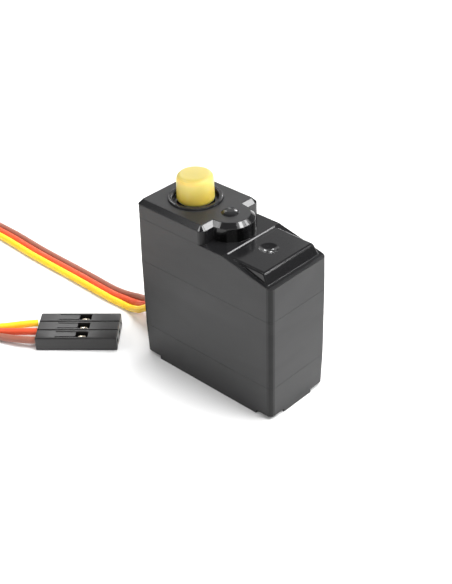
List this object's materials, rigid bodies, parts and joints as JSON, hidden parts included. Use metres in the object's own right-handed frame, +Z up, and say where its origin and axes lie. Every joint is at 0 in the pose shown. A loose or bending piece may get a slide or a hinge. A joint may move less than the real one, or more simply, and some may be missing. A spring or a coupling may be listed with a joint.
{
  "type": "servo motor",
  "caption": "Small black box-shaped servo without mounting ears: splined output under a smooth yellow cap, stepped lid, and a ribbon lead with a three-way plug.",
  "frame": {"origin": "middle of the underside of the case", "axes": "+X from the output shaft towards the motor end, +Y across the case, +Z up along the output shaft"},
  "size_m": [0.1054, 0.0447, 0.0338],
  "materials": {
    "case_black": "semi-gloss moulded black, satin on the sides",
    "cap_yellow": "slightly translucent smooth yellow",
    "gear_nylon": "natural nylon",
    "steel": "plain steel",
    "contact_metal": "tinned crimp metal",
    "brass": "turned brass",
    "copper": "enamelled copper windings on an iron core",
    "magnet": "sintered ferrite",
    "white_plastic": "white moulded plastic",
    "phenolic": "brown phenolic sheet",
    "board_green": "solder mask",
    "chip_black": "moulded epoxy",
    "rubber_black": "soft black rubber",
    "wire_brown": "brown PVC insulation",
    "wire_red": "orange-red PVC insulation",
    "wire_yellow": "yellow PVC insulation",
    "plug_black": "moulded black plastic"
  },
  "bodies": {
    "case": {"upper_case": "case_black", "middle_case": "case_black", "bottom_cover": "case_black", "case_screw_1": "steel", "case_screw_2": "steel", "case_screw_3": "steel", "case_screw_4": "steel", "output_bushing": "case_black", "idler_pin": "steel", "motor_can": "steel", "motor_end_cap": "white_plastic", "motor_terminal_1": "contact_metal", "motor_terminal_2": "contact_metal", "motor_magnet_1": "magnet", "motor_magnet_2": "magnet", "pot_body": "steel", "pot_wafer": "phenolic", "pot_wire_1": "wire_yellow", "pot_wire_2": "wire_red", "pot_wire_3": "wire_yellow", "circuit_board": "board_green", "driver_chip": "chip_black", "bridge_chip_1": "chip_black", "bridge_chip_2": "chip_black", "capacitor": "steel", "lead_tail_brown": "wire_brown", "lead_tail_red": "wire_red", "lead_tail_yellow": "wire_yellow", "lead_grommet": "rubber_black", "lead_wire_brown": "wire_brown", "lead_wire_red": "wire_red", "lead_wire_yellow": "wire_yellow", "plug_housing": "plug_black", "plug_contact_1": "contact_metal", "plug_contact_2": "contact_metal", "plug_contact_3": "contact_metal"},
    "motor_rotor": {"motor_shaft": "steel", "motor_armature": "copper", "motor_pinion": "brass"},
    "lower_idler": {"idler_gear_lower": "gear_nylon"},
    "shaft_idler": {"shaft_gear": "gear_nylon"},
    "upper_idler": {"idler_gear_upper": "gear_nylon"},
    "output": {"output_gear": "gear_nylon", "pot_shaft": "brass"},
    "cap": {"shaft_cap": "cap_yellow"}
  },
  "joints": [
    {"name": "rotor_spin", "type": "hinge", "parent": "case", "child": "motor_rotor", "pos_m": [0.0068, 0, 0.022], "axis": [0, 0, 1], "range_deg": [-7728, 7728]},
    {"name": "lower_idler_spin", "type": "hinge", "parent": "case", "child": "lower_idler", "pos_m": [0.0002, 0, 0.022], "axis": [0, 0, 1], "range_deg": [-1758, 1758]},
    {"name": "shaft_idler_spin", "type": "hinge", "parent": "case", "child": "shaft_idler", "pos_m": [-0.0071, 0, 0.022], "axis": [0, 0, 1], "range_deg": [-654, 654]},
    {"name": "upper_idler_spin", "type": "hinge", "parent": "case", "child": "upper_idler", "pos_m": [0.0002, 0, 0.022], "axis": [0, 0, 1], "range_deg": [-244, 244]},
    {"name": "output_spin", "type": "hinge", "parent": "case", "child": "output", "pos_m": [-0.0071, 0, 0.022], "axis": [0, 0, 1], "range_deg": [-91, 91]},
    {"name": "cap_pull", "type": "slide", "parent": "output", "child": "cap", "axis": [0, 0, 1], "range_m": [0, 0.005]}
  ],
  "couplings": [
    {"joint": "lower_idler_spin", "follows": "rotor_spin", "ratio": -0.22727},
    {"joint": "shaft_idler_spin", "follows": "rotor_spin", "ratio": 0.084416},
    {"joint": "upper_idler_spin", "follows": "rotor_spin", "ratio": -0.031354},
    {"joint": "output_spin", "follows": "rotor_spin", "ratio": 0.011646}
  ]
}
